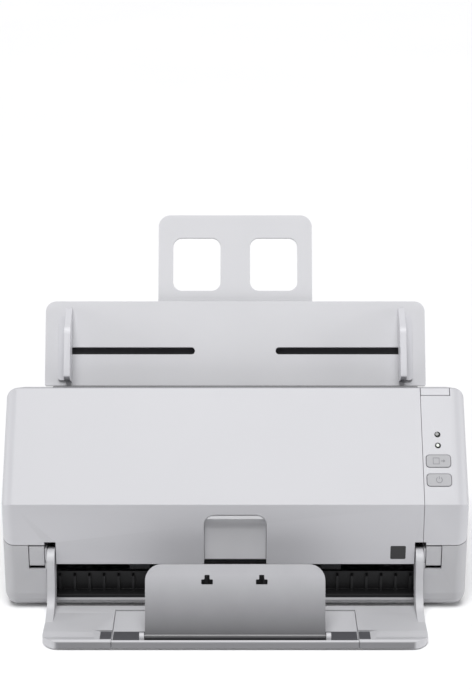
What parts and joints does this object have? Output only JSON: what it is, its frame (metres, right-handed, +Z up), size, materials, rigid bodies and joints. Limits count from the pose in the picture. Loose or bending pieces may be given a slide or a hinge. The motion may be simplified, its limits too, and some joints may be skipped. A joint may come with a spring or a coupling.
{
  "type": "sheet fed document scanner",
  "caption": "Desktop sheet fed document scanner with an upright paper chute, sliding side guides, a front unit that hinges open and a folding stacker tray.",
  "frame": {"origin": "on the floor under the middle of the machine's bounding box", "axes": "+X to the right as seen from the front, +Y from the front to the back, +Z up"},
  "size_m": [0.298, 0.1932, 0.2269],
  "materials": {
    "housing": "fine matt texture",
    "guide": "fine matt texture",
    "key": "fine matt texture",
    "dark": "satin",
    "stopper": "satin, slightly glossy",
    "black": "satin",
    "rubber": "matt ground rubber",
    "steel": "zinc plated, satin",
    "nylon": "natural nylon or acetal",
    "board": "solder mask",
    "glass": "polished",
    "lamp": "glossy lens"
  },
  "bodies": {
    "base": {"base_housing": "housing", "rear_housing": "housing", "rear_panel": "housing", "bottom_plate": "steel", "foot_front_left": "rubber", "foot_front_right": "rubber", "foot_rear_left": "rubber", "foot_rear_right": "rubber", "exit_recess": "black", "lower_guide": "dark", "lower_sensor": "black", "lower_glass": "glass", "side_frame_left": "steel", "side_frame_right": "steel", "hinge_pin_left": "steel", "hinge_pin_right": "steel", "drive_motor": "steel", "main_board": "board", "usb_socket": "steel", "power_inlet": "black", "chute": "housing"},
    "front_unit": {"front_cover": "housing", "front_lip": "housing", "operator_panel": "housing", "panel_board": "board", "status_lamp": "lamp", "power_lamp": "lamp", "upper_guide": "dark", "upper_sensor": "black", "upper_glass": "glass", "brake_holder": "dark", "hinge_arm_left": "housing", "hinge_arm_right": "housing"},
    "release_lever": {"release_lever": "housing"},
    "scan_button": {"scan_button": "key"},
    "power_button": {"power_button": "key"},
    "pick_drive": {"pick_shaft": "steel", "pick_roller": "rubber", "pick_gear": "nylon"},
    "feed_drive": {"feed_shaft": "steel", "feed_roller_left": "rubber", "feed_roller_right": "rubber", "feed_gear": "nylon"},
    "exit_drive": {"exit_roller": "rubber", "exit_gear": "nylon"},
    "idler_gear": {"idler_gear": "nylon"},
    "transfer_gear": {"transfer_gear": "nylon"},
    "motor_gear": {"motor_gear": "nylon"},
    "brake_roller": {"brake_roller": "rubber"},
    "feed_idler": {"feed_idler": "rubber"},
    "exit_idler": {"exit_idler": "rubber"},
    "chute_extension": {"chute_extension": "housing"},
    "side_guide_left": {"side_guide_left": "guide", "guide_rack_left": "nylon"},
    "side_guide_right": {"side_guide_right": "guide", "guide_rack_right": "nylon"},
    "guide_pinion": {"guide_pinion": "nylon"},
    "stacker_tray": {"stacker_tray": "housing"},
    "stacker_extension": {"stacker_extension": "dark"},
    "stopper": {"stopper": "stopper"}
  },
  "joints": [
    {"name": "front_unit_hinge", "type": "hinge", "parent": "base", "child": "front_unit", "pos_m": [0, -0.03808, 0.0375], "axis": [1, 0, 0], "range_deg": [0, 60]},
    {"name": "release_lever_pivot", "type": "hinge", "parent": "front_unit", "child": "release_lever", "pos_m": [0, 0.00542, 0.114], "axis": [1, 0, 0], "range_deg": [-6, 0], "stiffness_Nm_per_rad": 0.05},
    {"name": "scan_button_travel", "type": "slide", "parent": "front_unit", "child": "scan_button", "axis": [0, 0.7619, -0.6476], "range_m": [0, 0.0008], "stiffness_N_per_m": 400},
    {"name": "power_button_travel", "type": "slide", "parent": "front_unit", "child": "power_button", "axis": [0, 0.7619, -0.6476], "range_m": [0, 0.0008], "stiffness_N_per_m": 400},
    {"name": "feed_spin", "type": "hinge", "parent": "base", "child": "feed_drive", "pos_m": [0, 0.01002, 0.0592], "axis": [1, 0, 0], "continuous": true},
    {"name": "pick_spin", "type": "hinge", "parent": "base", "child": "pick_drive", "pos_m": [0, 0.02622, 0.0821], "axis": [1, 0, 0], "continuous": true},
    {"name": "exit_spin", "type": "hinge", "parent": "base", "child": "exit_drive", "pos_m": [0, -0.02658, 0.0282], "axis": [1, 0, 0], "continuous": true},
    {"name": "idler_gear_spin", "type": "hinge", "parent": "base", "child": "idler_gear", "pos_m": [0, 0.02576, 0.06211], "axis": [1, 0, 0], "continuous": true},
    {"name": "transfer_gear_spin", "type": "hinge", "parent": "base", "child": "transfer_gear", "pos_m": [0, -0.00578, 0.0392], "axis": [1, 0, 0], "continuous": true},
    {"name": "motor_gear_spin", "type": "hinge", "parent": "base", "child": "motor_gear", "pos_m": [0, 0.03572, 0.05375], "axis": [1, 0, 0], "continuous": true},
    {"name": "brake_roller_spin", "type": "hinge", "parent": "front_unit", "child": "brake_roller", "pos_m": [0, 0.00572, 0.0925], "axis": [1, 0, 0], "continuous": true},
    {"name": "feed_idler_spin", "type": "hinge", "parent": "front_unit", "child": "feed_idler", "pos_m": [0, -0.00338, 0.066], "axis": [1, 0, 0], "continuous": true},
    {"name": "exit_idler_spin", "type": "hinge", "parent": "front_unit", "child": "exit_idler", "pos_m": [0, -0.03168, 0.0392], "axis": [1, 0, 0], "continuous": true},
    {"name": "chute_extension_slide", "type": "slide", "parent": "base", "child": "chute_extension", "axis": [0, 0.454, 0.891], "range_m": [-0.058, 0]},
    {"name": "side_guide_left_slide", "type": "slide", "parent": "base", "child": "side_guide_left", "axis": [1, 0, 0], "range_m": [0, 0.074]},
    {"name": "side_guide_right_slide", "type": "slide", "parent": "base", "child": "side_guide_right", "axis": [1, 0, 0], "range_m": [-0.074, 0]},
    {"name": "guide_pinion_spin", "type": "hinge", "parent": "base", "child": "guide_pinion", "pos_m": [0, 0.04464, 0.14697], "axis": [0, -0.891, 0.454], "range_deg": [-535, 535]},
    {"name": "stacker_tray_hinge", "type": "hinge", "parent": "base", "child": "stacker_tray", "pos_m": [0, -0.04058, 0.0345], "axis": [1, 0, 0], "range_deg": [-110, 0]},
    {"name": "stopper_fold", "type": "hinge", "parent": "stacker_extension", "child": "stopper", "pos_m": [0, -0.08978, 0.0063], "axis": [1, 0, 0], "range_deg": [-66, 0]},
    {"name": "stacker_extension_slide", "type": "slide", "parent": "stacker_tray", "child": "stacker_extension", "axis": [0, -1, 0], "range_m": [0, 0.03]}
  ],
  "couplings": [
    {"joint": "pick_spin", "follows": "feed_spin", "ratio": 0.69231},
    {"joint": "exit_spin", "follows": "feed_spin", "ratio": 1.2857},
    {"joint": "idler_gear_spin", "follows": "feed_spin", "ratio": -1.2857},
    {"joint": "transfer_gear_spin", "follows": "feed_spin", "ratio": -0.54545},
    {"joint": "motor_gear_spin", "follows": "feed_spin", "ratio": 1.5},
    {"joint": "side_guide_right_slide", "follows": "side_guide_left_slide", "ratio": -1},
    {"joint": "guide_pinion_spin", "follows": "side_guide_left_slide", "rad_per_m": -125},
    {"joint": "stopper_fold", "follows": "stacker_tray_hinge", "ratio": 0.6}
  ]
}
